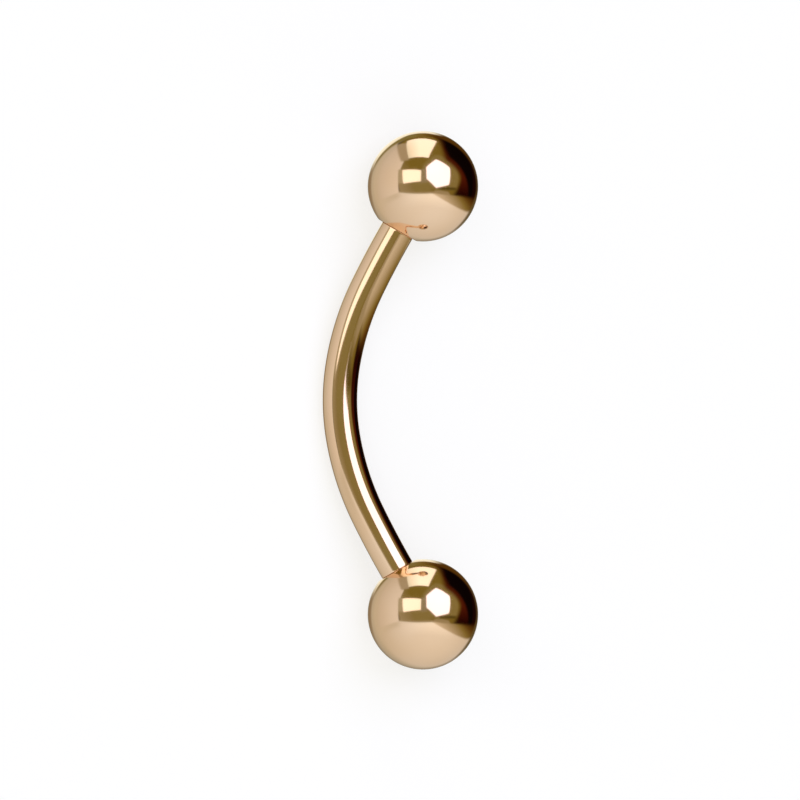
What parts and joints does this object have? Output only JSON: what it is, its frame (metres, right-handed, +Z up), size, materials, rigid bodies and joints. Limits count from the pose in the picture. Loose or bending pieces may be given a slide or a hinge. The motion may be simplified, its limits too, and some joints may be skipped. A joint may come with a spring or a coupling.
{
  "type": "curved eyebrow barbell",
  "caption": "Bent rose-gold bar with a ball screwed on each end, worn through an eyebrow piercing; either ball comes off along its stud.",
  "frame": {"origin": "middle of the footprint, on the surface that the barbell lies on", "axes": "+Y from the lower ball to the upper ball, along the line through their centres; the bow of the bar points towards -X; +Z up from the surface"},
  "size_m": [0.0052, 0.0194, 0.004],
  "materials": {
    "rose_gold_bar": "mirror-polished rose-gold coating on surgical steel",
    "rose_gold_ball": "mirror-polished rose-gold coating on surgical steel"
  },
  "bodies": {
    "bar": {"curved_bar": "rose_gold_bar"},
    "upper_ball": {"upper_ball": "rose_gold_ball"},
    "lower_ball": {"lower_ball": "rose_gold_ball"}
  },
  "joints": [
    {"name": "upper_ball_off", "type": "slide", "parent": "bar", "child": "upper_ball", "axis": [0.4446, 0.866, 0.2288], "range_m": [0, 0.003]},
    {"name": "lower_ball_off", "type": "slide", "parent": "bar", "child": "lower_ball", "axis": [0.4446, -0.866, 0.2288], "range_m": [0, 0.003]}
  ]
}
